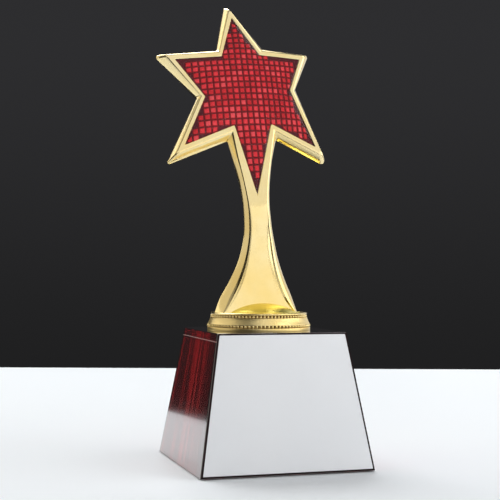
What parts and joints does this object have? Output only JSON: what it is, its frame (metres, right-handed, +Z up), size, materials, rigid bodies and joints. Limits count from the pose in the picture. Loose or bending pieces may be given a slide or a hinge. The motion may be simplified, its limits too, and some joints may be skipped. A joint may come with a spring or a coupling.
{
  "type": "star trophy",
  "caption": "Award trophy: a gilded star with red mosaic panels on a waisted stem, a beaded collar and a tapered lacquered wood base with a blank plate.",
  "frame": {"origin": "middle of the felt underside, on the surface the trophy stands on", "axes": "+Z up, +X to the right of a reader who faces the name plate, +Y to the back"},
  "size_m": [0.1091, 0.1007, 0.2687],
  "materials": {
    "gold": "mirror-polished pale gold plating",
    "red_mosaic": "translucent red cells on a metallic ground",
    "maroon_sheet": "dark maroon printed film",
    "clear_resin": "clear glossy crowned cover",
    "lacquered_wood": "red mahogany under thick gloss lacquer, dark arrises",
    "raw_wood": "plain sawn wood, unfinished",
    "zinc_steel": "zinc-plated fasteners",
    "block_alloy": "as-cast tapped block",
    "silver_plate": "fine satin silver plate with a bright bevelled edge",
    "glue_film": "clear adhesive film",
    "felt": "dark green felt"
  },
  "bodies": {
    "root": {"figure_front_half": "gold", "figure_rear_half": "gold", "collar": "gold", "front_mosaic": "red_mosaic", "rear_mosaic": "red_mosaic", "front_backing_sheet": "maroon_sheet", "rear_backing_sheet": "maroon_sheet", "front_clear_dome": "clear_resin", "rear_clear_dome": "clear_resin", "figure_screws": "zinc_steel", "locating_pins": "zinc_steel", "foot_block": "block_alloy", "centre_bolt": "zinc_steel", "flat_washer": "zinc_steel", "spring_washer": "zinc_steel", "base_front_panel": "lacquered_wood", "base_right_panel": "lacquered_wood", "base_rear_panel": "lacquered_wood", "base_left_panel": "lacquered_wood", "base_top_board": "lacquered_wood", "base_bottom_board": "raw_wood", "corner_blocks": "raw_wood", "bottom_screws": "zinc_steel", "felt_pad": "felt", "name_plate": "silver_plate", "plate_adhesive": "glue_film"}
  },
  "joints": []
}
